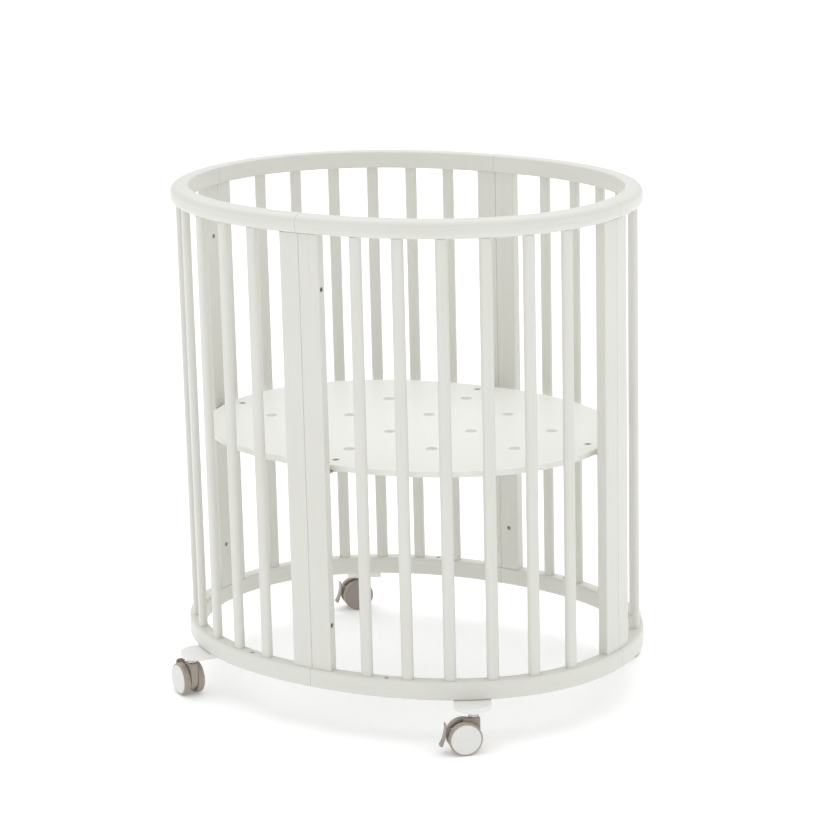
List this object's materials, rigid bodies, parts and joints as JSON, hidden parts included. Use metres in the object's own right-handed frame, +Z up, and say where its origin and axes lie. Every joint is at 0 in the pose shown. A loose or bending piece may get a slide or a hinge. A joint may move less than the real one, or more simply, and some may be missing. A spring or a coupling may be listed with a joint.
{
  "type": "baby crib",
  "caption": "Oval slatted baby crib of curved sections bolted together, with a flat vented mattress base at half height and braked twin-wheel swivel casters.",
  "frame": {"origin": "on the floor, under the centre of the oval", "axes": "+Z up, X along the oval's long axis, Y along its short axis"},
  "size_m": [0.809, 0.648, 0.858],
  "materials": {
    "frame_paint": "opaque white satin paint on beech",
    "base_paint": "opaque white satin paint on plywood",
    "tongue_plastic": "white moulded plastic",
    "greige_plastic": "warm grey moulded plastic",
    "white_cap": "off-white moulded plastic",
    "greige_cap": "warm grey moulded plastic",
    "brass": "turned",
    "bright_steel": "zinc plated",
    "bracket_steel": "yellow zinc plated",
    "dark_steel": "black oxide"
  },
  "bodies": {
    "frame": {"top_rail_front_right": "frame_paint", "bottom_rail_front_right": "frame_paint", "slats_front_right": "frame_paint", "post_front_right_side": "frame_paint", "post_front_right_end": "frame_paint", "caster_tongue_front_right": "tongue_plastic", "top_rail_back_right": "frame_paint", "bottom_rail_back_right": "frame_paint", "slats_back_right": "frame_paint", "post_back_right_side": "frame_paint", "post_back_right_end": "frame_paint", "caster_tongue_back_right": "tongue_plastic", "top_rail_back_left": "frame_paint", "bottom_rail_back_left": "frame_paint", "slats_back_left": "frame_paint", "post_back_left_side": "frame_paint", "post_back_left_end": "frame_paint", "caster_tongue_back_left": "tongue_plastic", "top_rail_front_left": "frame_paint", "bottom_rail_front_left": "frame_paint", "slats_front_left": "frame_paint", "post_front_left_side": "frame_paint", "post_front_left_end": "frame_paint", "caster_tongue_front_left": "tongue_plastic", "mattress_base": "base_paint", "base_brackets": "bracket_steel", "base_bolts": "dark_steel", "base_nuts": "brass", "wood_screws": "dark_steel", "joint_bolts": "dark_steel", "barrel_nuts": "brass", "caster_stems": "bright_steel"},
    "caster_front_right": {"caster_housing_front_right": "greige_plastic", "axle_front_right": "bright_steel"},
    "pedal_front_right": {"brake_pedal_front_right": "greige_plastic"},
    "roller_front_right_left": {"wheel_front_right_left": "greige_plastic", "wheel_cap_front_right_left": "white_cap"},
    "roller_front_right_right": {"wheel_front_right_right": "greige_plastic", "wheel_cap_front_right_right": "white_cap"},
    "caster_back_right": {"caster_housing_back_right": "greige_plastic", "axle_back_right": "bright_steel"},
    "pedal_back_right": {"brake_pedal_back_right": "greige_plastic"},
    "roller_back_right_left": {"wheel_back_right_left": "greige_plastic", "wheel_cap_back_right_left": "white_cap"},
    "roller_back_right_right": {"wheel_back_right_right": "greige_plastic", "wheel_cap_back_right_right": "white_cap"},
    "caster_back_left": {"caster_housing_back_left": "greige_plastic", "axle_back_left": "bright_steel"},
    "pedal_back_left": {"brake_pedal_back_left": "greige_plastic"},
    "roller_back_left_left": {"wheel_back_left_left": "greige_plastic", "wheel_cap_back_left_left": "greige_cap"},
    "roller_back_left_right": {"wheel_back_left_right": "greige_plastic", "wheel_cap_back_left_right": "white_cap"},
    "caster_front_left": {"caster_housing_front_left": "greige_plastic", "axle_front_left": "bright_steel"},
    "pedal_front_left": {"brake_pedal_front_left": "greige_plastic"},
    "roller_front_left_left": {"wheel_front_left_left": "greige_plastic", "wheel_cap_front_left_left": "white_cap"},
    "roller_front_left_right": {"wheel_front_left_right": "greige_plastic", "wheel_cap_front_left_right": "white_cap"}
  },
  "joints": [
    {"name": "swivel_front_right", "type": "hinge", "parent": "frame", "child": "caster_front_right", "pos_m": [0.27718, -0.27117, 0], "axis": [0, 0, 1], "continuous": true},
    {"name": "brake_front_right", "type": "hinge", "parent": "caster_front_right", "child": "pedal_front_right", "pos_m": [0.25597, -0.29095, 0.038], "axis": [0.682, -0.7314, 0], "range_deg": [0, 8]},
    {"name": "roll_front_right_left", "type": "hinge", "parent": "caster_front_right", "child": "roller_front_right_left", "pos_m": [0.26548, -0.28208, 0.0275], "axis": [0.682, -0.7314, 0], "continuous": true},
    {"name": "roll_front_right_right", "type": "hinge", "parent": "caster_front_right", "child": "roller_front_right_right", "pos_m": [0.26548, -0.28208, 0.0275], "axis": [0.682, -0.7314, 0], "continuous": true},
    {"name": "swivel_back_right", "type": "hinge", "parent": "frame", "child": "caster_back_right", "pos_m": [0.27718, 0.27117, 0], "axis": [0, 0, 1], "continuous": true},
    {"name": "brake_back_right", "type": "hinge", "parent": "caster_back_right", "child": "pedal_back_right", "pos_m": [0.27819, 0.24219, 0.038], "axis": [0.9994, 0.0349, 0], "range_deg": [0, 8]},
    {"name": "roll_back_right_left", "type": "hinge", "parent": "caster_back_right", "child": "roller_back_right_left", "pos_m": [0.27774, 0.25518, 0.0275], "axis": [0.9994, 0.0349, 0], "continuous": true},
    {"name": "roll_back_right_right", "type": "hinge", "parent": "caster_back_right", "child": "roller_back_right_right", "pos_m": [0.27774, 0.25518, 0.0275], "axis": [0.9994, 0.0349, 0], "continuous": true},
    {"name": "swivel_back_left", "type": "hinge", "parent": "frame", "child": "caster_back_left", "pos_m": [-0.27718, 0.27117, 0], "axis": [0, 0, 1], "continuous": true},
    {"name": "brake_back_left", "type": "hinge", "parent": "caster_back_left", "child": "pedal_back_left", "pos_m": [-0.29696, 0.24996, 0.038], "axis": [0.7314, -0.682, 0], "range_deg": [0, 8]},
    {"name": "roll_back_left_left", "type": "hinge", "parent": "caster_back_left", "child": "roller_back_left_left", "pos_m": [-0.28809, 0.25947, 0.0275], "axis": [0.7314, -0.682, 0], "continuous": true},
    {"name": "roll_back_left_right", "type": "hinge", "parent": "caster_back_left", "child": "roller_back_left_right", "pos_m": [-0.28809, 0.25947, 0.0275], "axis": [0.7314, -0.682, 0], "continuous": true},
    {"name": "swivel_front_left", "type": "hinge", "parent": "frame", "child": "caster_front_left", "pos_m": [-0.27718, -0.27117, 0], "axis": [0, 0, 1], "continuous": true},
    {"name": "brake_front_left", "type": "hinge", "parent": "caster_front_left", "child": "pedal_front_left", "pos_m": [-0.30254, -0.25711, 0.038], "axis": [-0.4848, -0.8746, 0], "range_deg": [0, 8]},
    {"name": "roll_front_left_left", "type": "hinge", "parent": "caster_front_left", "child": "roller_front_left_left", "pos_m": [-0.29117, -0.26341, 0.0275], "axis": [-0.4848, -0.8746, 0], "continuous": true},
    {"name": "roll_front_left_right", "type": "hinge", "parent": "caster_front_left", "child": "roller_front_left_right", "pos_m": [-0.29117, -0.26341, 0.0275], "axis": [-0.4848, -0.8746, 0], "continuous": true}
  ]
}
